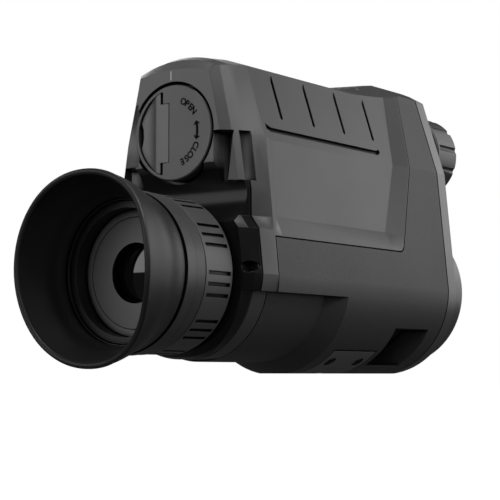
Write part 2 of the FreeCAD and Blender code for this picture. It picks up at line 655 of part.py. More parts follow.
def rear_gasket_shape():
    seam = size("rear_seam_y")
    ring = gasket_shape("rear_seam", seam, seam + size("gasket_thick"), 3.7)
    return ring.common(slab((-40, 40), (-70, 0), (-9, size("slot_low_z") - 1.5))).cut(scoop(0))


def bezel_shape():
    start = size("front_seam_y")
    shape = skin("front_seam", "front_face")
    inner = size("armour_thick") + size("shell_wall")
    shape = shape.cut(skin("front_seam", "bezel_edge", inner, start=start - 1,
                           stop=size("front_face_y") - 2.6))
    shape = shape.cut(tube_y(size("lens_ring_radius") + 0.15, 0, 80))
    shape = shape.cut(tube_y(size("collar_radius") + 0.05, 0, 80, size("knob_x"), size("knob_z")))
    shape = shape.cut(window_space(0.08))
    for side in (1, -1):
        shape = shape.cut(tube_y(size("finder_radius") + 0.3, 0, 80, side * size("finder_x"),
                                 size("finder_z")))
    for spot in bezel_screw_spots():
        shape = shape.cut(Part.makeCylinder(size("screw_radius"), 20, spot + Vector(0, -8, 0),
                                            Vector(0, 1, 0)))
    return shape


def window_space(gap):
    """The dark window over the range finder: between the knob and the objective."""
    front = size("front_face_y")
    half = size("window_half") + gap
    plate = slab((-half, half), (front - size("window_thick") - gap, front + 2),
                 (size("window_low_z") - gap, size("window_high_z") + gap))
    knob = tube_y(size("knob_radius") - 1.2 - gap, 0, 80, size("knob_x"), size("knob_z"))
    lens = tube_y(size("lens_ring_radius") + 0.9 - gap, 0, 80)
    return plate.cut(knob).cut(lens)


def bezel_screw_spots():
    y = size("front_face_y")
    pairs = [(size(place_name + "_screw_x"), size(place_name + "_screw_z")) for place_name in ("low", "high")]
    return [Vector(side * x, y, z) for x, z in pairs for side in (1, -1)]


def rear_screw_spots():
    """Two screws beside the eyepiece hold the rear housing on."""
    height = size("axis_z") + size("rear_screw_rise")
    return [Vector(side * size("rear_screw_x"), size("rear_face_y") + 3.0, height) for side in (1, -1)]


def board_rail(side):
    """A ledge along the inside of the housing that carries one edge of the main board."""
    top, half = size("main_board_z"), size("rail_half")
    wall = side_half(top) - size("armour_thick") - 0.6
    rail = slab((half, wall), (size("main_board_rear_y") + 2, size("main_board_front_y") - 2),
                (top - 1.6, top))
    return rail if side > 0 else rail.mirror(Vector(), Vector(1, 0, 0))


def window_shape():
    shape = window_space(0).common(slab((-60, 60), (0, size("front_face_y") + size("window_proud")), (0, 99)))
    for side in (1, -1):
        shape = shape.cut(tube_y(size("finder_radius") + 0.1, 0, 80, side * size("finder_x"),
                                 size("finder_z")))
    return max(shape.Solids, key=lambda solid: solid.Volume)


def screws_shape(spots, reach):
    """Straight screws that face forward, with cross recesses."""
    radius = size("screw_radius")
    screws = []
    for spot in spots:
        shank = Part.makeCylinder(radius * 0.92, reach, spot - Vector(0, reach + 0.6, 0), Vector(0, 1, 0))
        drive = Part.makeCylinder(radius * 0.4, 2, spot - Vector(0, 1.1, 0), Vector(0, 1, 0))
        screws.append(shank.cut(drive))
    return Part.makeCompound(screws)


def feature(label, shape):
    """A sub-part whose form neither sketches nor primitives give."""
    thing = DOC.addObject("Part::Feature", label)
    thing.Shape = shape.removeSplitter() if shape.ShapeType != "Compound" else shape
    thing.Placement = Placement()
    return keep(thing, label)


def make_shells():
    feature("main_housing", housing_shape())
    feature("grip_armour", armour_shape())
    feature("rear_housing", rear_housing_shape())
    feature("rear_gasket", rear_gasket_shape())
    for label, side in (("right_lanyard_bar", 1), ("left_lanyard_bar", -1)):
        bar = lanyard_strip(side).cut(lanyard_space(side)).cut(thumb_rest())
        feature(label, bar.cut(battery_axis_tube(cap_bore(), -80, 0)))
    feature("front_bezel", bezel_shape())
    stop = size("front_seam_y")
    feature("front_gasket", gasket_shape("front_seam", stop - size("gasket_thick"), stop,
                                         size("armour_thick") + size("shell_wall")))
    feature("finder_window", window_shape())
    feature("bezel_screws", screws_shape(bezel_screw_spots(), 7.0))
    turned_spots = [Vector(spot.x, -spot.y, spot.z) for spot in rear_screw_spots()]
    screws = screws_shape(turned_spots, 4.2).mirror(Vector(), Vector(0, 1, 0))
    feature("rear_screws", Part.makeCompound(screws.Solids))


# ---------------------------------------------------------------- eyepiece

def make_eyepiece():
    ring_inner = "barrel_radius + slide_gap"
    cup = turned("eyecup_blank", [
        ("cup_fold_radius - cup_wall - 1.2", "cup_root_y"), ("ring_radius", "cup_root_y"),
        ("cup_fold_radius - 0.2", "cup_root_y - 1.6"), ("cup_fold_radius", "cup_fold_y"),
        ("cup_rim_radius - 0.4", "cup_rim_y + 1.4"), ("cup_rim_radius + 0.1", "cup_rim_y - 3.2"),
        ("cup_tip_radius", "cup_tip_y"), ("cup_tip_radius - cup_wall", "cup_tip_y"),
        ("cup_rim_radius + 0.1 - cup_wall", "cup_rim_y - 3.2"),
        ("cup_rim_radius - 0.4 - cup_wall", "cup_rim_y + 1.4"),
        ("cup_fold_radius - cup_wall", "cup_fold_y + 0.4"),
        ("cup_fold_radius - cup_wall - 1.2", "cup_fold_y + 1.6")])
    reach, rim, tip = 30.0, size("cup_rim_y"), size("cup_tip_y")
    trim = Part.BSplineCurve()
    trim.interpolate([Vector(-reach, rim - 2.0, -10), Vector(-12, rim - 2.4, -10), Vector(0, rim - 2.3, -10),
                      Vector(12, rim - 3.2, -10), Vector(19, rim - 5.4, -10), Vector(reach, tip - 2.6, -10)])
    edges = [trim.toShape(), Part.makeLine(Vector(reach, tip - 2.6, -10), Vector(reach, -140, -10)),
             Part.makeLine(Vector(reach, -140, -10), Vector(-reach, -140, -10)),
             Part.makeLine(Vector(-reach, -140, -10), Vector(-reach, rim - 2.0, -10))]
    beyond = DOC.addObject("Part::Feature", "eyecup_trim")
    beyond.Shape = Part.Face(Part.Wire(edges)).extrude(Vector(0, 0, 80))
    keep(without("eyecup_cut", cup, beyond), "eyecup")

    keep(turned("eyecup_ring", [
        (ring_inner, "cup_root_y + 0.05"), ("ring_radius + 0.25", "cup_root_y + 0.05"),
        ("ring_radius + 0.35", "ring_step_y - 0.15"), ("ring_radius - 0.1", "ring_step_y + 0.15"),
        ("ring_radius + 0.15", "ring_rear_y - 0.25"), (ring_inner, "ring_rear_y - 0.25")]), "eyecup_ring")

    blank = turned("diopter_blank", [
        (ring_inner, "ring_rear_y"), ("ring_radius - 0.35", "ring_rear_y"),
        ("ring_radius", "ring_rear_y + 0.35"),
        ("ring_radius", "ring_front_y - 0.6"), ("ring_radius - 0.6", "ring_front_y"),
        (ring_inner, "ring_front_y")])
    cuts = []
    for group in range(int(size("grip_groups"))):
        for line in (-1, 0, 1):
            slot = block(f"grip_{group}_{line + 1}", "grip_groove",
                         "ring_front_y - ring_rear_y - 2 * grip_land",
                         "4", ("0", "0", "0"))
            turn = f"(grip_first_angle + {group} * grip_group_angle + {line} * grip_groove_angle)"
            slot.Placement = Placement(Vector(), Rotation(Vector(0, 1, 0), 0))
            slot.setExpression("Placement.Rotation.Angle", formula(turn))
            slot.setExpression("Placement.Base.x", formula(
                f"(ring_radius - 0.7) * sin({turn} * 1 deg) - grip_groove / 2 * cos({turn} * 1 deg)"))
            slot.setExpression("Placement.Base.z", formula(
                f"axis_z + (ring_radius - 0.7) * cos({turn} * 1 deg) + grip_groove / 2 * sin({turn} * 1 deg)"))
            slot.setExpression("Placement.Base.y", formula("ring_rear_y + grip_land"))
            cuts.append(slot)
    keep(without("diopter_cut", blank, *cuts), "diopter_ring")

    keep(turned("eyepiece_barrel", [
        ("barrel_radius - barrel_wall", "barrel_rear_y"), ("barrel_radius", "barrel_rear_y"),
        ("barrel_radius", "rear_seam_y + 0.6"), ("flange_radius", "rear_seam_y + 0.6"),
        ("flange_radius", "rear_seam_y + 0.6 + flange_thick"),
        ("barrel_radius", "rear_seam_y + 0.6 + flange_thick"),
        ("barrel_radius", "display_y - 1.2"), ("barrel_radius - barrel_wall", "display_y - 1.2")]),
        "eyepiece_barrel")

    outer = "barrel_radius - barrel_wall - slide_gap"
    retainer = f"({outer} - cell_lip)"
    seat = "cell_rear_y + retainer_thick + 0.1"
    front_stop = f"{seat} + eye_lens_thick + spacer_length + field_lens_thick"
    keep(turned("lens_cell", [
        (f"{retainer} + 0.2", "cell_rear_y"), (outer, "cell_rear_y"), (outer, "cell_front_y"),
        ("eye_lens_radius - lens_seat", "cell_front_y"), ("eye_lens_radius - lens_seat", front_stop),
        ("eye_lens_radius + 0.05", front_stop), ("eye_lens_radius + 0.05", seat),
        (f"{retainer} + 0.2", seat)]), "lens_cell")
    keep(turned("lens_retainer", [
        ("eye_opening", "cell_rear_y"), (retainer, "cell_rear_y"),
        (retainer, "cell_rear_y + retainer_thick"), ("eye_opening + 0.9", "cell_rear_y + retainer_thick")]),
        "lens_retainer")
    keep(lens("eye_lens", "eye_lens_radius", "eye_lens_thick", f"{seat}", 1.3), "eye_lens")
    keep(turned("lens_spacer", [
        ("eye_lens_radius - 1.4", f"{seat} + eye_lens_thick"),
        ("eye_lens_radius", f"{seat} + eye_lens_thick"),
        ("eye_lens_radius", f"{seat} + eye_lens_thick + spacer_length"),
        ("eye_lens_radius - 1.4", f"{seat} + eye_lens_thick + spacer_length")]), "lens_spacer")
    keep(lens("field_lens", "eye_lens_radius", "field_lens_thick",
              f"{seat} + eye_lens_thick + spacer_length", 0.9), "field_lens")

    holder = rod("display_holder_blank", "barrel_radius", "display_thick + 1.2",
                 ("0", "display_y - 1.2", "axis_z"))
    bay = block("display_bay", "display_wide + 0.2", "display_thick + 1", "display_high + 0.2",
                ("-display_wide / 2 - 0.1", "display_y", "axis_z - display_high / 2 - 0.1"))
    view = block("display_view", "display_wide - 3", "9", "display_high - 3",
                 ("-(display_wide - 3) / 2", "display_y - 4", "axis_z - (display_high - 3) / 2"))
    keep(without("display_holder_cut", holder, bay, view), "display_holder")
    keep(padded("display", rectangle("display_wide / 2", "display_high / 2"), "display_thick",
                ("0", "display_y", "axis_z")), "display")
    keep(padded("display_board", rectangle("display_wide / 2 + 3", "display_high / 2 + 3"), "board_thick",
                ("0", "display_y + display_thick", "axis_z")), "display_board")


def lens(name, radius, thickness, rear, bulge):
    """A lens with two curved faces and a cylindrical edge, bulging by the given sag."""
    steps = [("0", f"{rear}")]
    steps += [(f"{radius} * 0.45", f"{rear} + {bulge * 0.2:.3f}"),
              (f"{radius} * 0.75", f"{rear} + {bulge * 0.56:.3f}"),
              (radius, f"{rear} + {bulge}")]
    steps += [(radius, f"{rear} + {thickness} - {bulge * 0.6:.3f}"),
              (f"{radius} * 0.6", f"{rear} + {thickness} - {bulge * 0.21:.3f}"),
              ("0", f"{rear} + {thickness}")]
    return turned(name, steps)


# ---------------------------------------------------------------- battery and cap

def make_battery():
    at = ("cell_x", "0", "cell_z")
    plug = "(cell_radius + tube_gap - plug_gap)"
    disc_front = "rear_face_y + cap_depth"
    blank = turned("battery_cap_blank", [
        ("0", "rear_face_y"), ("cap_radius - 0.3", "rear_face_y"), ("cap_radius", "rear_face_y + 0.3"),
        ("cap_radius", disc_front), (plug, disc_front), (plug, f"{disc_front} + 0.9"),
        (f"{plug} - 0.9", f"{disc_front} + 0.9"),
        (f"{plug} - 0.9", f"{disc_front} + 0.9 + cap_seal_wire * 1.25"),
        (plug, f"{disc_front} + 0.9 + cap_seal_wire * 1.25"), (plug, f"{disc_front} + plug_length"),
        ("0", f"{disc_front} + plug_length")], at)
    pocket_depth = "handle_thick + 0.6"
    half = "handle_half + 0.15"
    disc_room = rod("handle_room_disc", "handle_radius + 0.15", pocket_depth,
                    ("cell_x", "rear_face_y", "cell_z"))
    side_room = block("handle_room_side", "handle_radius - handle_line + 2 + 0.8", "9", f"2 * ({half})",
                      ("cell_x - handle_radius - 2", "rear_face_y - 1", f"cell_z - ({half})"))
    handle_room = shared("handle_room", disc_room, side_room)
    tongue_room = block("tongue_room", "handle_line - tongue_reach + 0.25 + 0.2", "3.1",
                        "2 * tongue_half + 0.3",
                        ("cell_x - handle_line - 0.25", "rear_face_y - 0.01", "cell_z - tongue_half - 0.15"))
    pin_room = rod("pin_room", "pin_radius + 0.02", "2 * handle_half - 1",
                   ("cell_x - handle_axis", "rear_face_y + handle_thick / 2", "cell_z - handle_half + 0.5"),
                   "z")
    keep(without("battery_cap_cut", blank, handle_room, tongue_room, pin_room), "battery_cap")

    plate_disc = rod("handle_disc", "handle_radius", "handle_thick", ("cell_x", "rear_face_y", "cell_z"))
    plate_side = block("handle_side", "handle_radius - handle_line + 2", "9", "2 * handle_half",
                       ("cell_x - handle_radius - 2", "rear_face_y - 1", "cell_z - handle_half"))
    plate = shared("handle_plate", plate_disc, plate_side)
    tongue = block("handle_tongue", "handle_line - tongue_reach + 0.1", "handle_thick", "2 * tongue_half",
                   ("cell_x - handle_line - 0.1", "rear_face_y", "cell_z - tongue_half"))
    dish = rod("handle_dish", "dish_radius", "60",
               ("cell_x - 9.6", "rear_face_y - dish_radius + dish_depth", "cell_z - 30"), "z")
    notch_radius = "(notch_half ^ 2 + notch_depth ^ 2) / (2 * notch_depth)"
    notch = rod("handle_notch", notch_radius, "9",
                (f"cell_x - handle_radius + notch_depth - {notch_radius}",
                 "rear_face_y - 2", "cell_z"))
    bore = rod("handle_bore", "pin_radius + 0.06", "2 * handle_half",
               ("cell_x - handle_axis", "rear_face_y + handle_thick / 2", "cell_z - handle_half"), "z")
    keep(without("cap_handle_cut", fused("cap_handle_blank", plate, tongue), dish, notch, bore), "cap_handle")
    keep(rod("handle_pin", "pin_radius", "2 * handle_half - 1.2",
             ("cell_x - handle_axis", "rear_face_y + handle_thick / 2", "cell_z - handle_half + 0.6"), "z"),
         "handle_pin")
    keep(torus("cap_seal", f"{plug} - 0.9 + cap_seal_wire / 2", "cap_seal_wire / 2",
               ("cell_x", f"{disc_front} + 0.9 + cap_seal_wire * 0.625", "cell_z")), "cap_seal")
    contact_y = f"{disc_front} + plug_length"
    keep(turned("cap_contact", [
        ("0", contact_y), (f"{plug} - 2.4", contact_y), (f"{plug} - 2.4", f"{contact_y} + 0.5"),
        (f"{plug} - 5", f"{contact_y} + 0.5"), (f"{plug} - 5.6", f"cell_rear"), ("0", "cell_rear")], at),
        "cap_contact")

    keep(turned("battery_cell", [
        ("0", "cell_rear"), ("cell_radius - 0.5", "cell_rear"), ("cell_radius", "cell_rear + 0.5"),
        ("cell_radius", "cell_rear + cell_length - 0.5"), ("cell_radius - 0.6", "cell_rear + cell_length"),
        ("3", "cell_rear + cell_length"), ("3", "cell_rear + cell_length + 0.8"),
        ("0", "cell_rear + cell_length + 0.8")], at), "battery_cell")
    inner = "cell_radius + tube_gap"
    keep(turned("battery_tube", [
        (inner, "tube_rear_y"), (f"{inner} + tube_wall", "tube_rear_y"),
        (f"{inner} + tube_wall", "tube_front_y"),
        ("0", "tube_front_y"), ("0", "tube_front_y - 1.2"), (inner, "tube_front_y - 1.2")], at),
        "battery_tube")
    spring_end = "tube_front_y - 1.2"
    foot = rod("spring_foot", "spring_foot_radius", "spring_foot_thick",
               ("cell_x", f"{spring_end} - spring_foot_thick", "cell_z"))
    coils = []
    for i in range(3):
        share = f"(0.35 + {i} * 0.62)"
        coils.append(torus(f"spring_coil_{i}", f"spring_radius - {i} * spring_step", "spring_wire",
                           ("cell_x", f"{spring_end} - spring_foot_thick - {share}", "cell_z")))
    keep(fused("battery_spring_body", foot, *coils), "battery_spring")


# ---------------------------------------------------------------- objective and focus

def make_objective():
    barrel = turned("objective_blank", [
        ("objective_radius - objective_wall", "objective_rear_y"), ("objective_radius", "objective_rear_y"),
        ("objective_radius", "front_seam_y - 1"), ("lens_ring_radius", "front_seam_y + 1.2"),
        ("lens_ring_radius", "front_face_y - 0.1"), ("lens_radius + 0.1", "front_face_y - 0.1"),
        ("lens_radius + 0.1", "front_seam_y + 2.2"), ("lens_radius - 1.6", "front_seam_y + 2.2"),
        ("objective_radius - objective_wall", "front_seam_y - 2")])
    slot = block("fork_slot", "5.4", "focus_cell_front_y - focus_cell_rear_y", "9",
                 ("-0.7", "focus_cell_rear_y - 0.5", "axis_z + objective_radius - 6"))
    keep(without("objective_cut", barrel, slot), "objective_barrel")
    keep(lens("front_lens", "lens_radius", "front_face_y - front_seam_y - 2.4", "front_seam_y + 2.3", 1.2),
         "front_lens")
    keep(turned("objective_ring", [
        ("lens_clear", "front_face_y"), ("lens_ring_radius", "front_face_y"),
        ("lens_ring_radius", "lens_ring_front_y - 0.6"),
        ("lens_ring_radius - 0.6", "lens_ring_front_y"), ("lens_clear + 2.2", "lens_ring_front_y"),
        ("lens_clear", "lens_ring_front_y - 1.6")]), "objective_ring")
    sleeve = "objective_radius - objective_wall - slide_gap"
    keep(turned("focus_cell", [
        ("rear_lens_radius - 1", "focus_cell_rear_y"), (sleeve, "focus_cell_rear_y"),
        (sleeve, "focus_cell_front_y - 2"),
        ("rear_lens_radius + 0.05", "focus_cell_front_y - 2"),
        ("rear_lens_radius + 0.05", "focus_cell_rear_y + 1.2"),
        ("rear_lens_radius - 1", "focus_cell_rear_y + 1.2")]), "focus_cell")
    keep(lens("rear_lens", "rear_lens_radius", "4", "focus_cell_rear_y + 1.2", 0.8), "rear_lens")

    post_low = "axis_z + objective_radius - objective_wall - slide_gap - 0.1"
    post = block("fork_post", "3.6", "4", f"knob_z - 3.4 - ({post_low})",
                 ("0.2", "focus_cell_rear_y + 4.4", post_low))
    hub = rod("fork_hub", "4.4", "6", ("knob_x", "focus_cell_rear_y + 4.4", "knob_z"))
    thread = rod("fork_thread", "shaft_radius + 0.1", "12", ("knob_x", "focus_cell_rear_y", "knob_z"))
    keep(without("focus_fork_cut", fused("focus_fork_blank", post, hub), thread), "focus_fork")

    at = ("knob_x", "0", "knob_z")
    blank = turned("focus_knob_blank", [
        ("0", "knob_rear_y + 2.2"), ("collar_radius + 1.6", "knob_rear_y + 2.2"),
        ("collar_radius + 1.6", "knob_rear_y"),
        ("knob_radius - 0.5", "knob_rear_y"), ("knob_radius", "knob_rear_y + 0.5"),
        ("knob_radius", "knob_front_y - 0.9"), ("knob_radius - 0.9", "knob_front_y"), ("0", "knob_front_y")],
        at)
    cuts = []
    for i in range(int(size("knob_grooves"))):
        angle = f"({i} * 360 / knob_grooves + knob_groove_turn)"
        cuts.append(rod(f"knob_groove_{i}", "0.9", "knob_front_y - knob_rear_y - 1.4", (
            f"knob_x + (knob_radius + 0.2) * sin({angle} * 1 deg)", "knob_rear_y + 1.4",
            f"knob_z + (knob_radius + 0.2) * cos({angle} * 1 deg)")))
    bore = rod("knob_bore", "shaft_radius", "5", ("knob_x", "knob_rear_y", "knob_z"))
    keep(without("focus_knob_cut", blank, bore, *cuts), "focus_knob")
    keep(rod("focus_shaft", "shaft_radius", "knob_rear_y + 5 - shaft_rear_y",
             ("knob_x", "shaft_rear_y", "knob_z")),
         "focus_shaft")
    keep(turned("focus_collar", [
        ("shaft_radius + 0.08", "bezel_edge_y - 3"), ("collar_radius + 1.2", "bezel_edge_y - 3"),
        ("collar_radius + 1.2", "front_face_y - 2.7"), ("collar_radius", "front_face_y - 2.7"),
        ("collar_radius", "knob_rear_y + 2"), ("shaft_radius + 0.08", "knob_rear_y + 2")], at),
        "focus_collar")


def make_finder():
    """Laser range finder behind the dark window."""
    top, low = "finder_z + 4.2", "finder_z - 4.2"
    body = block("finder_body", "2 * finder_x + 7.6", "4.6", f"{top} - ({low})",
                 ("-finder_x - 3.8", "front_seam_y - 4.8", low))
    barrels = [rod(f"finder_barrel_{i}", "finder_radius", "7.4", (f"{sign} * finder_x", "front_seam_y - 0.3",
                                                                  "finder_z"))
               for i, sign in enumerate((1, -1))]
    wells = [rod(f"finder_well_{i}", "finder_radius - 0.6", "9", (f"{sign} * finder_x", "front_seam_y + 0.4",
                                                                  "finder_z"))
             for i, sign in enumerate((1, -1))]
    keep(without("finder_module_cut", fused("finder_module_blank", body, *barrels), *wells), "finder_module")
    lenses = [rod(f"finder_lens_{i}", "finder_radius - 0.65", "1.6",
                  (f"{sign} * finder_x", "front_face_y - 2", "finder_z"))
              for i, sign in enumerate((1, -1))]
    keep(fused("finder_lenses_body", *lenses), "finder_lenses")


# ---------------------------------------------------------------- sensor, shutter and boards

def make_electronics():
    plate = rod("sensor_frame_plate", "objective_radius + 1.4", "sensor_thick", ("0", "sensor_y", "axis_z"))
    ear = rod("sensor_frame_ear", "3.6", "sensor_thick", ("shutter_x", "sensor_y", "shutter_pivot_z"))
    reach = "objective_radius - objective_wall / 2"
    posts = [rod(f"sensor_post_{angle}", "objective_wall / 2", "objective_rear_y - sensor_y", (
        f"({reach}) * cos({angle} * 1 deg)", "sensor_y", f"axis_z + ({reach}) * sin({angle} * 1 deg)"))
        for angle in (75, 345, 285)]
    bay = block("sensor_bay", "sensor_side + 0.2", "9", "sensor_side + 0.2",
                ("-sensor_side / 2 - 0.1", "sensor_y - 2", "axis_z - sensor_side / 2 - 0.1"))
    keep(without("sensor_frame_cut", fused("sensor_frame_blank", plate, ear, *posts), bay), "sensor_frame")
    keep(padded("thermal_sensor", rectangle("sensor_side / 2", "sensor_side / 2"), "sensor_thick",
                ("0", "sensor_y", "axis_z")), "thermal_sensor")
    keep(padded("sensor_board", rectangle("sensor_side / 2 + 6", "sensor_side / 2 + 6"), "board_thick",
                ("0", "sensor_y - board_thick", "axis_z")), "sensor_board")

    pivot = ("shutter_x", "sensor_y + sensor_thick", "shutter_pivot_z")
    case = rod("shutter_case", "3.2", "shutter_y - sensor_y - sensor_thick - slide_gap", pivot)
    shaft = rod("shutter_shaft", "0.6", "shutter_y - sensor_y - sensor_thick + 1", pivot)
    keep(fused("shutter_motor_body", case, shaft), "shutter_motor")
    hub = rod("shutter_hub", "2.2", "shutter_thick", ("shutter_x", "shutter_y", "shutter_pivot_z"))
    arm = block("shutter_arm", "3", "shutter_thick", "13",
                ("shutter_x - 1.5", "shutter_y", "shutter_pivot_z - 13"))
    paddle = block("shutter_paddle", "9", "shutter_thick", "10.5",
                   ("shutter_x - 4.5", "shutter_y", "shutter_pivot_z - 23.4"))
    eye = rod("shutter_eye", "0.66", "3", ("shutter_x", "shutter_y - 1", "shutter_pivot_z"))
    keep(without("shutter_blade_body", fused("shutter_blade_blank", hub, arm, paddle), eye), "shutter_blade")

    keep(padded("main_board", [("-main_board_half", "main_board_rear_y"),
                               ("main_board_half", "main_board_rear_y"),
                               ("main_board_half", "main_board_front_y"),
                               ("-main_board_half", "main_board_front_y")],
                "board_thick", ("0", "0", "main_board_z"), "XY_Plane"), "main_board")
    chips = [block("processor_can", "18", "18", "1.8", ("-9", "-30", "main_board_z - 1.8")),
             block("memory_chip", "10", "8", "1.1", ("-11", "-9", "main_board_z - 1.1")),
             block("power_chip", "7", "9", "1.3", ("5", "-8", "main_board_z - 1.3"))]
    keep(fused("board_chips_body", *chips), "board_chips")

    floor = "low_apex_z - panel_drop - panel_thick"
    keep_panel(floor)
    keep(padded("button_board", rectangle("5.6", "(panel_front_y - panel_rear_y) / 2 - 2.2"), "0.8",
                ("0", "(panel_front_y + panel_rear_y) / 2", f"{floor} - 3.1"), "XY_Plane"), "button_board")
    feature("status_light", led_space(0).cut(tooled_above()))

    shell = block("port_shell", "5.6", "port_wide", "port_high",
                  ("-21.1", "port_y - port_wide / 2", "port_z - port_high / 2"))
    mouth = block("port_mouth", "5.2", "port_wide - 0.8", "port_high - 0.8",
                  ("-21.2", "port_y - port_wide / 2 + 0.4", "port_z - port_high / 2 + 0.4"))
    tongue = block("port_tongue", "4", "port_wide - 2.8", "0.7",
                   ("-20", "port_y - port_wide / 2 + 1.4", "port_z - 0.35"))
    keep(fused("charging_port_body", without("port_hollow", shell, mouth), tongue), "charging_port")
    feature("port_cover", port_cover_shape())


def tooled_above():
    """Everything above the skin at the status light, so that it ends just proud of it."""
    return slab((-40, 40), (-60, 60), (60, 120)).cut(skin("ramp_start", "block", -0.12))


def keep_panel(floor):
    """The button panel, its three holes and the buttons that sit in them."""
    plate = block("panel_blank", "2 * panel_half", "panel_front_y - panel_rear_y", "panel_thick",
                  ("-panel_half", "panel_rear_y", floor))
    holes = []
    buttons = []
    for i, label in enumerate(("power_button", "menu_button", "zoom_button")):
        y = f"button_middle_y + ({i} - 1) * button_pitch"
        holes.append(rod(f"{label}_hole", "button_radius + 0.15", "9", ("0", y, f"{floor} - 3"), "z"))
        head = turned(label, [
            ("0", f"{floor} - 1.4"), ("button_radius + 0.9", f"{floor} - 1.4"),
            ("button_radius + 0.9", f"{floor} - 0.3"),
            ("button_radius", f"{floor} - 0.3"),
            ("button_radius", f"{floor} + panel_thick + button_proud - 0.4"),
            ("button_radius - 0.4", f"{floor} + panel_thick + button_proud"),
            ("0", f"{floor} + panel_thick + button_proud - 0.15")], ("0", y, "0"), upright=True)
        buttons.append((head, label))
    keep(without("button_panel_cut", plate, *holes), "button_panel")
    for head, label in buttons:
        keep(head, label)


def port_cover_shape():
    """Rubber flap over the charging port, with a lip to lift it by and a plug on its back."""
    region = skin("block", "front_seam").cut(skin("block", "front_seam", size("armour_thick") - 0.1))
    plate = region.common(cover_space(0))
    plate = max(plate.Solids, key=lambda solid: solid.Volume)
    wide, high = size("port_wide") / 2 - 1.0, size("port_high") / 2 - 0.6
    face = side_half(size("port_z")) - size("armour_thick") + 0.3
    y, z = size("port_y"), size("port_z")
    plug = slab((-face, -face + 0.9), (y - wide, y + wide), (z - high, z + high))
    return plate.fuse(plug)


# ---------------------------------------------------------------- base

def make_base():
    feature("tripod_plate", plate_shape())
    keep(turned("tripod_insert", [
        ("thread_radius", "0"), ("insert_radius", "0"), ("insert_radius", "insert_height"),
        ("0", "insert_height"),
        ("0", "thread_depth"), ("thread_radius", "thread_depth")], ("0", "0", "0"), upright=True),
        "tripod_insert")
    feature("plate_screws", plate_screws_shape())


def check_and_write():
    """Stops at anything that did not build, then writes one file for each sub-part."""
    DOC.recompute()
    broken = [thing.Name for thing in DOC.Objects if {"Invalid", "Error"} & set(thing.State)]
    for thing in NODES:
        if thing.Shape.isNull() or not thing.Shape.isValid() or not thing.Shape.Solids:
            broken.append(thing.Label)
    if broken:
        raise RuntimeError("did not build: " + ", ".join(sorted(set(broken))))
    os.makedirs("parts", exist_ok=True)
    for thing in NODES:
        thing.Shape.exportStep(f"parts/{thing.Label}.step")
    print(len(NODES), "sub-parts")


make_shells()
make_eyepiece()
make_battery()
make_objective()
make_finder()
make_electronics()
make_base()
check_and_write()
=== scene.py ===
import math

import bmesh
import bpy
from mathutils import Matrix, Vector


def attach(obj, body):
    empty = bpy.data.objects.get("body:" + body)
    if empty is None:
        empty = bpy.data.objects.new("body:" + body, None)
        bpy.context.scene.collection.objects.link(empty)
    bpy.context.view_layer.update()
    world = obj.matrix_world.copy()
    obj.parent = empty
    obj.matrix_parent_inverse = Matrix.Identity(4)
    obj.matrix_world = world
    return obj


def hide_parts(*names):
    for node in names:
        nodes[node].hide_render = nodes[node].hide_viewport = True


# Thermal monocular in the shared frame: +Y is the line of sight, +X the user's right, +Z up.
# Lengths are in mm until they are multiplied by MM.
MM = 0.001
MM_PER_M = 1000
AXIS_Z = 25.0

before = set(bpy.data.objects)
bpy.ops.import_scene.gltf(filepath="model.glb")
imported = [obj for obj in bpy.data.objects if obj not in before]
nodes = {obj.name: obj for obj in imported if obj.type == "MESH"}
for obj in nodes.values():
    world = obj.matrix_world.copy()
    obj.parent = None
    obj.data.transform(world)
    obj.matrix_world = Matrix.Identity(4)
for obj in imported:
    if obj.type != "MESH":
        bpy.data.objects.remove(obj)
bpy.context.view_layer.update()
scene = bpy.context.scene


# ---------------------------------------------------------------- materials

MIX_COLOURS, MIX_RESULT = slice(6, 8), 2  # the colour sockets of a Mix node
BEVEL_SAMPLES, AO_SAMPLES = 4, 6
EDGE_RADIUS_MM = 0.14
CREVICE_REACH_MM = 1.5
CREVICE_SHARE = 0.05  # painted shade: the share of the colour left where no light gets in
AO_RANGE = (0.45, 0.95)  # from fully dark to untouched
PATCH_RANGE, PATCH_DETAIL = (0.3, 0.7), 4.0
PATCH_GLOSS = 0.5  # how far the gloss follows uneven colour
BLACK, WHITE = (0.0, 0.0, 0.0), (1, 1, 1, 1)


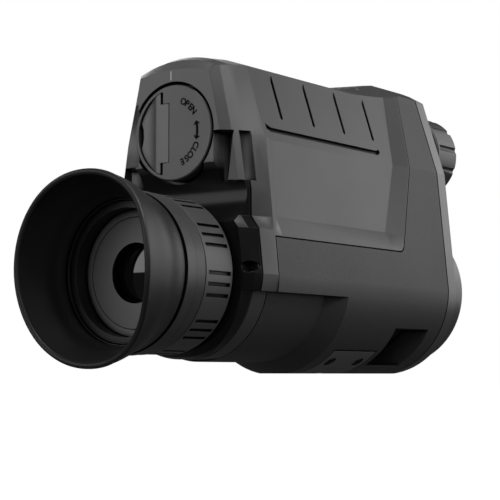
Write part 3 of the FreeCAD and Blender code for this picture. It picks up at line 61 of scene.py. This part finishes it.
class Finish:
    """A Principled material whose nodes are added step by step."""

    def __init__(self, name, colour, roughness, metallic=0.0, specular=0.5):
        self.material = bpy.data.materials.new(name)
        self.material.use_nodes = True
        self.tree = self.material.node_tree
        self.shader = self.tree.nodes["Principled BSDF"]
        self.colour, self.roughness, self.normal = colour, roughness, None
        self.set(Base_Color=(*colour, 1), Roughness=roughness, Metallic=metallic,
                 Specular_IOR_Level=specular)
        self.place = self.node("ShaderNodeTexCoord").outputs["Object"]

    def feed(self, socket, value):
        """Links a socket to another, or sets it to a value."""
        if isinstance(value, bpy.types.NodeSocket):
            self.tree.links.new(value, socket)
        else:
            socket.default_value = value

    def node(self, kind, **values):
        made = self.tree.nodes.new(kind)
        for name, value in values.items():
            self.feed(made.inputs[name.replace("_", " ")], value)
        return made

    def set(self, **values):
        for name, value in values.items():
            self.feed(self.shader.inputs[name.replace("_", " ")], value)
        return self

    def noise(self, scale, detail=2.0, stretch=(1, 1, 1)):
        mapped = self.node("ShaderNodeMapping", Vector=self.place, Scale=stretch)
        made = self.node("ShaderNodeTexNoise", Vector=mapped.outputs[0], Scale=scale, Detail=detail)
        return made.outputs["Fac"]

    def cells(self, scale, stretch):
        mapped = self.node("ShaderNodeMapping", Vector=self.place, Scale=stretch)
        made = self.node("ShaderNodeTexVoronoi", Vector=mapped.outputs[0], Scale=scale)
        return made.outputs["Distance"]

    def spread(self, source, low, high, out_low=0.0, out_high=1.0):
        """Maps low to out_low and high to out_high, and stops at both."""
        return self.node("ShaderNodeMapRange", Value=source, From_Min=low, From_Max=high,
                         To_Min=out_low, To_Max=out_high).outputs[0]

    def blend(self, amount, first, second):
        """Colour between two, by an amount from 0 to 1."""
        mix = self.tree.nodes.new("ShaderNodeMix")
        mix.data_type = "RGBA"
        self.feed(mix.inputs["Factor"], amount)
        for socket, value in zip(mix.inputs[MIX_COLOURS], (first, second)):
            self.feed(socket, (*value, 1) if isinstance(value, tuple) else value)
        return mix.outputs[MIX_RESULT]

    def mottle(self, scale, amount):
        """Slight uneven colour and gloss, as on moulded and handled surfaces."""
        patch = self.noise(scale, PATCH_DETAIL)
        dark = tuple(c * (1 - amount) for c in self.colour)
        light = tuple(min(c * (1 + amount), 1) for c in self.colour)
        dull = self.roughness * (1 + amount * PATCH_GLOSS)
        glossy = self.roughness * (1 - amount * PATCH_GLOSS)
        self.paint(self.blend(self.spread(patch, *PATCH_RANGE), dark, light))
        self.gloss(self.spread(patch, *PATCH_RANGE, dull, glossy))
        return self

    def paint(self, colour_socket):
        self.feed(self.shader.inputs["Base Color"], colour_socket)

    def gloss(self, value_socket):
        self.feed(self.shader.inputs["Roughness"], value_socket)

    def relief(self, height, strength, depth_mm):
        """Adds one layer of bump."""
        bump = self.node("ShaderNodeBump", Strength=strength, Distance=depth_mm * MM, Height=height)
        if self.normal is not None:
            self.feed(bump.inputs["Normal"], self.normal)
        self.normal = bump.outputs[0]
        self.feed(self.shader.inputs["Normal"], self.normal)

    def soft_edges(self):
        """Lets hard edges catch light as if they were slightly rounded."""
        bevel = self.node("ShaderNodeBevel", Radius=EDGE_RADIUS_MM * MM)
        bevel.samples = BEVEL_SAMPLES
        self.normal = bevel.outputs[0]
        return self

    def painted_crevice_shade(self):
        """Paints shade into seams, grooves and corners, where little light gets in: darker colour
        and weaker reflection.
        """
        shade = self.node("ShaderNodeAmbientOcclusion", Distance=CREVICE_REACH_MM * MM)
        shade.samples = AO_SAMPLES
        share = self.spread(shade.outputs["AO"], *AO_RANGE, CREVICE_SHARE, 1.0)
        base = self.shader.inputs["Base Color"]
        self.paint(self.blend(share, BLACK, base.links[0].from_socket))
        level = self.shader.inputs["Specular IOR Level"]
        self.feed(level, self.spread(share, 0.0, 1.0, 0.0, level.default_value))
        return self


def grained(name, colour, roughness, specular=0.5, grain_mm=0.35, depth_mm=0.03, amount=0.12):
    """Moulded plastic: fine spark texture and slight mottling."""
    finish = Finish(name, colour, roughness, specular=specular)
    finish.mottle(scale=60, amount=amount).soft_edges()
    finish.relief(finish.noise(MM_PER_M / grain_mm), strength=0.35, depth_mm=depth_mm)
    return finish.painted_crevice_shade()


def rubber(name, colour, roughness, pebble_mm=0.0):
    """Soft black surface, with a pebbled skin if pebble_mm is given."""
    finish = Finish(name, colour, roughness, specular=0.35).mottle(scale=45, amount=0.1)
    if pebble_mm:
        pebble = finish.cells(MM_PER_M / pebble_mm, stretch=(1.0, 0.7, 1.0))
        finish.relief(pebble, strength=0.5, depth_mm=0.035)
        light, dark = tuple(c * 1.08 for c in colour), tuple(c * 0.86 for c in colour)
        finish.paint(finish.blend(finish.spread(pebble, 0.2, 0.8), light, dark))
    finish.relief(finish.noise(scale=4200), strength=0.25, depth_mm=0.02)
    return finish.painted_crevice_shade()


def metal(name, colour, roughness, brushed=(1, 1, 1)):
    finish = Finish(name, colour, roughness, metallic=1.0).mottle(scale=80, amount=0.08)
    finish.relief(finish.noise(1500, 3.0, brushed), strength=0.12, depth_mm=0.02)
    return finish


def glass(name, colour, roughness, scale, strength, specular=0.5):
    """Polished surface with a slow ripple."""
    finish = Finish(name, colour, roughness, specular=specular)
    finish.relief(finish.noise(scale), strength, depth_mm=0.02)
    return finish


def tinted(finish, scale, spread, first, second):
    """Lets a coating drift between two colours."""
    finish.paint(finish.blend(finish.spread(finish.noise(scale), *spread), first, second))
    return finish


def painted_light_by_height(name, low, high, edge_mm, fade_mm=1.5):
    """Painted light and shade by height: one finish below a height and another above, each a
    colour, a roughness and a specular; the lighter colour and stronger reflection above stand in
    for light, the darker below for shade.
    """
    finish = Finish(name, low[0], low[1], specular=low[2]).soft_edges()
    split = finish.node("ShaderNodeSeparateXYZ", Vector=finish.place)
    share = finish.spread(split.outputs["Z"], (edge_mm - fade_mm) * MM, (edge_mm + fade_mm) * MM)
    finish.paint(finish.blend(share, low[0], high[0]))
    finish.gloss(finish.spread(share, 0.0, 1.0, low[1], high[1]))
    finish.relief(finish.noise(scale=2600), strength=0.3, depth_mm=0.008)
    finish.painted_crevice_shade()
    finish.feed(finish.shader.inputs["Specular IOR Level"],
                finish.spread(share, 0.0, 1.0, low[2], high[2]))
    return finish


# Each has a colour and a roughness, then a specular level and a grain where they aren't usual.
panel = grained("housing_satin", (0.055, 0.055, 0.056), 0.40, 0.75,
                grain_mm=0.22, depth_mm=0.012, amount=0.06)
strip = grained("corner_satin", (0.075, 0.075, 0.076), 0.38, 0.8,
                grain_mm=0.22, depth_mm=0.012, amount=0.06)
# Painted light and shade: the upper rear face is lighter, standing in for light from above and
# behind, and the channel below is darker, standing in for its shade.
rear = painted_light_by_height("rear_gloss", ((0.009, 0.009, 0.0095), 0.22, 0.22),
                ((0.105, 0.105, 0.106), 0.42, 0.8), edge_mm=53.5)
armour = rubber("armour_grain", (0.055, 0.055, 0.056), 0.47, pebble_mm=0.42)
cup_rubber = rubber("eyecup_rubber", (0.026, 0.026, 0.026), 0.42)
ring_black = grained("ring_satin", (0.085, 0.085, 0.086), 0.36, 0.7,
                     grain_mm=0.5, depth_mm=0.006, amount=0.08)
cup_ring = grained("eyecup_ring_satin", (0.060, 0.060, 0.061), 0.36, 0.7,
                   grain_mm=0.5, depth_mm=0.006, amount=0.08)
cap_satin = grained("cap_satin", (0.080, 0.080, 0.081), 0.38, 0.7,
                    grain_mm=0.3, depth_mm=0.01, amount=0.06)
handle_satin = grained("handle_satin", (0.085, 0.086, 0.089), 0.32, 0.75,
                       grain_mm=0.3, depth_mm=0.01, amount=0.06)
bezel_satin = grained("bezel_satin", (0.075, 0.075, 0.076), 0.34, 0.8,
                      grain_mm=0.25, depth_mm=0.01, amount=0.05)
plate_satin = grained("saddle_plate", (0.15, 0.15, 0.151), 0.45, 0.6, grain_mm=0.25, amount=0.06)
window_black = glass("window_gloss", (0.002, 0.002, 0.003), 0.06,
                     scale=40, strength=0.04, specular=0.35)
barrel_black = grained("barrel_anodised", (0.012, 0.012, 0.0125), 0.36, 0.5,
                       grain_mm=0.5, depth_mm=0.006, amount=0.08)
annulus = grained("retainer_satin", (0.15, 0.15, 0.151), 0.38, 0.7,
                  grain_mm=0.3, depth_mm=0.006, amount=0.05)
eye_glass = tinted(Finish("eye_lens_coated", (0.003, 0.003, 0.003), 0.05, specular=0.6),
                   90, (0.35, 0.65), (0.003, 0.002, 0.003), (0.005, 0.003, 0.004))
eye_glass.set(Coat_Weight=0.4, Coat_Roughness=0.03)
inner_glass = glass("inner_glass", (0.7, 0.75, 0.78), 0.04, scale=60, strength=0.03)
inner_glass.set(Transmission_Weight=0.9)
germanium = tinted(Finish("germanium", (0.20, 0.17, 0.16), 0.10, metallic=1.0),
                   25, (0.3, 0.7), (0.16, 0.12, 0.13), (0.26, 0.22, 0.19))
steel = metal("steel", (0.52, 0.52, 0.53), 0.32, (1, 8, 1))
screw_black = metal("screw_black", (0.05, 0.05, 0.052), 0.42)
gold = metal("contact_gold", (0.78, 0.58, 0.28), 0.28)
seal = rubber("seal_rubber", (0.012, 0.012, 0.012), 0.6)
wrap = grained("cell_wrap", (0.06, 0.22, 0.12), 0.3)
board = grained("solder_mask", (0.015, 0.11, 0.045), 0.35)
chip = grained("chip_epoxy", (0.02, 0.02, 0.021), 0.5, 0.4)
blade = metal("shutter_matt", (0.16, 0.16, 0.16), 0.6)
# The status light is a small light pipe; its pale grey, far lighter than the housing round it, is a
# painted highlight standing in for a glint on the top.
light_pipe = Finish("light_pipe", (0.20, 0.20, 0.20), 0.15, specular=0.8).mottle(300, amount=0.06)
print_white = Finish("mark_white", (0.9, 0.9, 0.9), 0.5).mottle(400, amount=0.05)
print_dark = Finish("engraved_dark", (0.003, 0.003, 0.003), 0.6, specular=0.1)
print_dark.mottle(400, amount=0.1)
knob_satin = grained("knob_satin", (0.045, 0.045, 0.046), 0.36, 0.7,
                     grain_mm=0.3, depth_mm=0.01, amount=0.06)

FINISHES = {
    panel: ["main_housing"],
    strip: ["right_lanyard_bar", "left_lanyard_bar"],
    rear: ["rear_housing"],
    armour: ["grip_armour", "port_cover"],
    cup_rubber: ["eyecup", "power_button", "menu_button", "zoom_button"],
    cup_ring: ["eyecup_ring"],
    ring_black: ["diopter_ring", "button_panel"],
    cap_satin: ["battery_cap"],
    handle_satin: ["cap_handle"],
    bezel_satin: ["front_bezel", "objective_ring"],
    plate_satin: ["tripod_plate"],
    window_black: ["finder_window"],
    barrel_black: ["eyepiece_barrel", "objective_barrel", "lens_spacer", "focus_cell",
                   "focus_collar", "sensor_frame", "display_holder", "battery_tube"],
    annulus: ["lens_cell", "lens_retainer"],
    eye_glass: ["eye_lens"],
    inner_glass: ["field_lens", "finder_lenses"],
    germanium: ["front_lens", "rear_lens"],
    steel: ["handle_pin", "focus_shaft", "focus_fork", "tripod_insert", "charging_port"],
    screw_black: ["plate_screws", "bezel_screws", "rear_screws"],
    gold: ["cap_contact", "battery_spring"],
    seal: ["cap_seal", "front_gasket", "rear_gasket"],
    wrap: ["battery_cell"],
    board: ["main_board", "button_board", "sensor_board", "display_board"],
    chip: ["board_chips", "thermal_sensor", "display", "finder_module", "shutter_motor"],
    blade: ["shutter_blade"],
    light_pipe: ["status_light"],
    knob_satin: ["focus_knob"],
}


def coat(thing, finish):
    if not thing.material_slots:
        thing.data.materials.append(finish.material)
    for place in thing.material_slots:
        place.material = finish.material


# ---------------------------------------------------------------- smoothing

WELD_MM = 0.002
BROAD_ANGLE, FINE_ANGLE = 9, 26
BROAD_FACES = {"main_housing", "grip_armour", "rear_housing", "front_bezel", "tripod_plate",
               "port_cover", "left_lanyard_bar", "right_lanyard_bar"}


def smooth_group(angle):
    """A node group that welds a mesh and smooths every edge flatter than the angle."""
    group = bpy.data.node_groups.new("smooth_by_angle", "GeometryNodeTree")
    group.is_modifier = True
    for way in ("INPUT", "OUTPUT"):
        group.interface.new_socket("Geometry", in_out=way, socket_type="NodeSocketGeometry")
    start, end = group.nodes.new("NodeGroupInput"), group.nodes.new("NodeGroupOutput")
    weld = group.nodes.new("GeometryNodeMergeByDistance")
    weld.inputs["Distance"].default_value = WELD_MM * MM
    faces = group.nodes.new("GeometryNodeSetShadeSmooth")
    faces.domain = "FACE"
    edges = group.nodes.new("GeometryNodeSetShadeSmooth")
    edges.domain = "EDGE"
    bend = group.nodes.new("GeometryNodeInputMeshEdgeAngle")
    flat = group.nodes.new("FunctionNodeCompare")
    flat.operation = "LESS_THAN"
    flat.inputs[1].default_value = math.radians(angle)
    link = group.links.new
    link(bend.outputs["Unsigned Angle"], flat.inputs[0])
    link(start.outputs[0], weld.inputs["Geometry"])
    link(weld.outputs[0], faces.inputs["Geometry"])
    link(faces.outputs[0], edges.inputs["Geometry"])
    link(flat.outputs[0], edges.inputs["Shade Smooth"])
    link(edges.outputs[0], end.inputs[0])
    return group


broad, fine = smooth_group(BROAD_ANGLE), smooth_group(FINE_ANGLE)
for finish, names in FINISHES.items():
    for name in names:
        coat(nodes[name], finish)
for name, thing in nodes.items():
    smoothing = thing.modifiers.new("smooth_by_angle", "NODES")
    smoothing.node_group = broad if name in BROAD_FACES else fine


# ---------------------------------------------------------------- pieces

def added(name, data, finish, body):
    thing = bpy.data.objects.new(name, data)
    scene.collection.objects.link(thing)
    thing.data.materials.append(finish.material)
    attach(thing, body)
    return thing


def mesh_from(form, name, smooth):
    """Mesh data from a bmesh, its faces turned outwards."""
    bmesh.ops.recalc_face_normals(form, faces=form.faces)
    for face in form.faces:
        face.smooth = smooth
    mesh = bpy.data.meshes.new(name)
    form.to_mesh(mesh)
    form.free()
    return mesh


def axis_vert(form, radius, y, angle):
    """A vertex at a radius from the optical axis."""
    return form.verts.new((radius * math.cos(angle) * MM, y * MM,
                           (AXIS_Z + radius * math.sin(angle)) * MM))


def bridge(form, row, other, closed):
    """Four-sided faces between two rows of vertices."""
    count = len(row)
    for k in range(count if closed else count - 1):
        after = (k + 1) % count
        form.faces.new((row[k], row[after], other[after], other[k]))


def along(points, at):
    """Value of a broken line through (place, value) points."""
    for (a, low), (b, high) in zip(points, points[1:]):
        if at <= b:
            share = (at - a) / (b - a)
            return low + share * (high - low)
    return points[-1][1]


def eyecup():
    """Flared rubber cup: its rim runs back to a wing on the right and ends in a round bead."""
    # (y, outer radius), and (x, y) of the rim
    outer = [(-103.2, 25.75), (-99.0, 24.75), (-96.0, 24.2), (-93.5, 23.95), (-91.5, 23.5),
             (-89.0, 22.6), (-86.8, 21.5), (-85.0, 20.85), (-83.2, 20.65), (-81.25, 20.3)]
    rim_shape = [(-30, -95.0), (-24, -95.1), (-15, -95.4), (-6, -95.4), (0, -95.2), (6, -95.4),
                 (12, -96.1), (17, -97.4), (21, -99.4), (25, -102.4), (30, -105.5)]
    root, wall, bead = -81.25, 1.3, 0.85
    rim_x, rim_z, tilt = 24.6, 24.4, 0.045
    seat_depth, seat_rows = 0.9, 2
    turns, steps = 96, 9
    bead_parts, bead_start, bead_turn = 8, 0.1, 1.25
    form = bmesh.new()
    rows = []
    for i in range(turns):
        angle = i * math.tau / turns
        rim = along(rim_shape, rim_x * math.cos(angle)) + bead - tilt * rim_z * math.sin(angle)
        places = [root + (rim - root) * k / steps for k in range(steps + 1)]
        line = [(along(outer, y), y) for y in places]
        middle = along(outer, rim) - wall / 2
        for k in range(1, bead_parts):
            turn = math.pi * (k / bead_parts - bead_start) * bead_turn
            line.append((middle + bead * math.cos(turn), rim - bead * math.sin(turn)))
        for k in range(steps, -1, -1):
            seat = seat_depth if k < seat_rows else 0.0
            line.append((along(outer, places[k]) - wall - seat, places[k]))
        rows.append([axis_vert(form, r, y, angle) for r, y in line])
    for i in range(turns):
        bridge(form, rows[i], rows[(i + 1) % turns], closed=True)
    mesh = mesh_from(form, "eyecup_form", smooth=True)
    cup = added("eyecup_soft", mesh, cup_rubber, "eyecup")
    rounding = cup.modifiers.new("round", "SUBSURF")
    rounding.levels = rounding.render_levels = 1
    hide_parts("eyecup")


def eye_lens():
    """Smooth rear lens of the eyepiece: two bulging faces and a cylindrical edge."""
    radius, rear_y, front_y = 9.0, -75.0, -70.0
    rear_bulge, front_bulge = 1.3, 0.78
    turns, steps = 64, 10
    radii = [radius * k / steps for k in range(1, steps + 1)]
    line = [(r, rear_y + rear_bulge * (r / radius) ** 2) for r in radii]
    line += [(r, front_y - front_bulge * (r / radius) ** 2) for r in reversed(radii)]
    form = bmesh.new()
    rows = [[axis_vert(form, r, y, i * math.tau / turns) for r, y in line] for i in range(turns)]
    near, far = axis_vert(form, 0, rear_y, 0), axis_vert(form, 0, front_y, 0)
    for i in range(turns):
        row, other = rows[i], rows[(i + 1) % turns]
        form.faces.new((near, row[0], other[0]))
        form.faces.new((far, other[-1], row[-1]))
        bridge(form, row, other, closed=False)
    mesh = mesh_from(form, "eye_lens_form", smooth=True)
    lens = added("eye_lens_smooth", mesh, eye_glass, "eyepiece_cell")
    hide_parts("eye_lens")


def slab_mesh(name, outline, y_low, y_high):
    """A thin flat piece from an (x, z) outline."""
    form = bmesh.new()
    low = [form.verts.new((x * MM, y_low * MM, z * MM)) for x, z in outline]
    high = [form.verts.new((x * MM, y_high * MM, z * MM)) for x, z in outline]
    form.faces.new(low)
    form.faces.new(high[::-1])
    bridge(form, low, high, closed=True)
    return mesh_from(form, name, smooth=False)


def index_mark():
    """White line above the battery cap, on the rear face."""
    left, right, foot, head = -1.22, -0.9, 76.1, 78.5
    mark = [(left, foot), (right, foot), (right, head), (left, head)]
    mesh = slab_mesh("index_mark", mark, -61.05, -60.9)
    added("index_mark", mesh, print_white, "housing")


CAP_X, CAP_Z = -0.4, 62.4
CAP_FACE = -61.0
CAPITAL_TO_SIZE = 1.38
LETTER_HALF_THICK, LETTER_SWELL, LETTER_PROUD = 0.03, 0.055, 0.02


def letter(text, angle, radius, height):
    """One raised letter on the cap's face, its head outwards."""
    curve = bpy.data.curves.new(f"letter_{text}_{round(angle)}", "FONT")
    curve.body = text
    curve.size = height * MM * CAPITAL_TO_SIZE
    curve.extrude = LETTER_HALF_THICK * MM
    curve.offset = LETTER_SWELL * MM
    curve.align_x = "CENTER"
    curve.resolution_u = 4
    turn = math.radians(angle)
    out = Vector((math.cos(turn), 0, math.sin(turn)))
    right = Vector((math.sin(turn), 0, -math.cos(turn)))
    towards = Vector((0, -1, 0))
    base = Vector((CAP_X + radius * out.x, CAP_FACE - LETTER_PROUD, CAP_Z + radius * out.z)) * MM
    basis = Matrix((right, out, towards)).transposed().to_4x4()
    thing = bpy.data.objects.new(curve.name, curve)
    scene.collection.objects.link(thing)
    thing.matrix_world = Matrix.Translation(base) @ basis
    curve.materials.append(print_dark.material)
    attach(thing, "cap")


def cap_marks():
    """Turn directions of the battery cap: two words round its edge and a double arrow."""
    word_radius, letter_height = 7.7, 1.75
    for text, first, step in (("OPEN", 66.0, -9.6), ("CLOSE", -27.0, -10.2)):
        for i, char in enumerate(text):
            letter(char, first + i * step, word_radius, letter_height)
    # The arrow is bent round the cap: (degrees, distance from its middle radius).
    mean, half, wing, tip, head = 8.0, 0.36, 1.05, 18.0, 7
    neck = tip - head
    rows = [(tip, 0), (neck, wing), (neck, half), (-neck, half), (-neck, wing), (-tip, 0),
            (-neck, -wing), (-neck, -half), (neck, -half), (neck, -wing)]
    outline = []
    for (a, shift), (b, other) in zip(rows, rows[1:] + rows[:1]):
        parts = 6 if abs(a - b) > head else 1
        for k in range(parts):
            angle = math.radians(a + (b - a) * k / parts)
            radius = mean + shift + (other - shift) * k / parts
            outline.append((CAP_X + radius * math.cos(angle), CAP_Z + radius * math.sin(angle)))
    mesh = slab_mesh("turn_arrow", outline, CAP_FACE - 0.05, CAP_FACE + 0.1)
    added("turn_arrow", mesh, print_dark, "cap")


eyecup()
eye_lens()
index_mark()
cap_marks()


# ---------------------------------------------------------------- stage, light and camera

# The floor and the lights are in metres.
FLOOR_HALF, FLOOR_Z = 6.0, -0.06
FILL_LIGHT = 0.06
LIGHT_TARGET = (0, -0.02, 0.04)
# name: azimuth, elevation, distance, width, height, power in watts
SOFTBOXES = {
    "right_strip": (144, 9, 1.0, 1.0, 0.55, 1.9),
    "rear_left": (-36, 16, 1.0, 0.6, 0.45, 1.6),
    "lens_glint": (-8, -6, 0.9, 0.16, 0.16, 0.22),
    "right_high": (90, 38, 1.1, 0.8, 0.4, 3.6),
    "above": (60, 75, 1.2, 0.6, 0.6, 7.0),
    "rear_right": (30, 10, 1.0, 0.3, 0.4, 0.8),
    "front": (170, 20, 1.0, 0.4, 0.5, 0.75),
    "front_left": (235, 25, 1.2, 0.8, 0.5, 3.5),
}
VIEW_AZIMUTH, VIEW_PITCH = 35.7, 4.52
VIEW_PLACE = (253.3, -379.7, -0.4)
SENSOR_MM, LENS_MM, FAR_M = 36.0, 113.8, 20.0


def floor():
    """Pale paper that the camera sees, without lighting the object from below."""
    mesh = bpy.data.meshes.new("floor")
    corners = [(-1, -1), (1, -1), (1, 1), (-1, 1)]
    mesh.from_pydata([(x * FLOOR_HALF, y * FLOOR_HALF, FLOOR_Z) for x, y in corners], [],
                     [(0, 1, 2, 3)])
    ground = bpy.data.objects.new("floor", mesh)
    scene.collection.objects.link(ground)
    paper = Finish("floor_paper", (0.93, 0.93, 0.93), 0.8)
    paper.relief(paper.noise(30), 0.05, 0.5)
    paper.set(Emission_Color=WHITE, Emission_Strength=1.0)
    ground.data.materials.append(paper.material)
    ground.visible_diffuse = False
    ground.visible_glossy = False


def sky():
    """White to the camera, a weak even fill to everything else."""
    world = bpy.data.worlds.new("studio")
    scene.world = world
    world.use_nodes = True
    tree = world.node_tree
    fill, white = tree.nodes["Background"], tree.nodes.new("ShaderNodeBackground")
    for background, strength in ((fill, FILL_LIGHT), (white, 1.0)):
        background.inputs["Color"].default_value = WHITE
        background.inputs["Strength"].default_value = strength
    seen = tree.nodes.new("ShaderNodeLightPath")
    mix = tree.nodes.new("ShaderNodeMixShader")
    tree.links.new(seen.outputs["Is Camera Ray"], mix.inputs[0])
    tree.links.new(fill.outputs[0], mix.inputs[1])
    tree.links.new(white.outputs[0], mix.inputs[2])
    tree.links.new(mix.outputs[0], tree.nodes["World Output"].inputs[0])


def softbox(name, azimuth, elevation, distance, wide, high, power):
    """An area light round the object. Azimuth 0 is behind it, at -Y, and 90 is at its right."""
    light = bpy.data.lights.new(name, "AREA")
    light.shape = "RECTANGLE"
    light.size, light.size_y, light.energy = wide, high, power
    turn, rise = math.radians(azimuth), math.radians(elevation)
    away = Vector((math.sin(turn) * math.cos(rise), -math.cos(turn) * math.cos(rise),
                   math.sin(rise)))
    lamp = bpy.data.objects.new(name, light)
    scene.collection.objects.link(lamp)
    lamp.location = Vector(LIGHT_TARGET) + away * distance
    lamp.rotation_euler = away.to_track_quat("Z", "Y").to_euler()


def camera():
    """The photograph's view: from behind, from the right and a little from below."""
    azimuth, pitch = math.radians(VIEW_AZIMUTH), math.radians(VIEW_PITCH)
    forward = Vector((-math.sin(azimuth) * math.cos(pitch), math.cos(azimuth) * math.cos(pitch),
                      math.sin(pitch)))
    right = forward.cross(Vector((0, 0, 1))).normalized()
    up = right.cross(forward)
    data = bpy.data.cameras.new("camera")
    data.sensor_width, data.lens, data.clip_end = SENSOR_MM, LENS_MM, FAR_M
    eye = bpy.data.objects.new("camera", data)
    scene.collection.objects.link(eye)
    turn = Matrix((right, up, -forward)).transposed().to_4x4()
    eye.matrix_world = Matrix.Translation(Vector(VIEW_PLACE) * MM) @ turn
    scene.camera = eye


floor()
sky()
for name, values in SOFTBOXES.items():
    softbox(name, *values)
camera()
scene.view_settings.view_transform = "Standard"
scene.view_settings.look = "None"
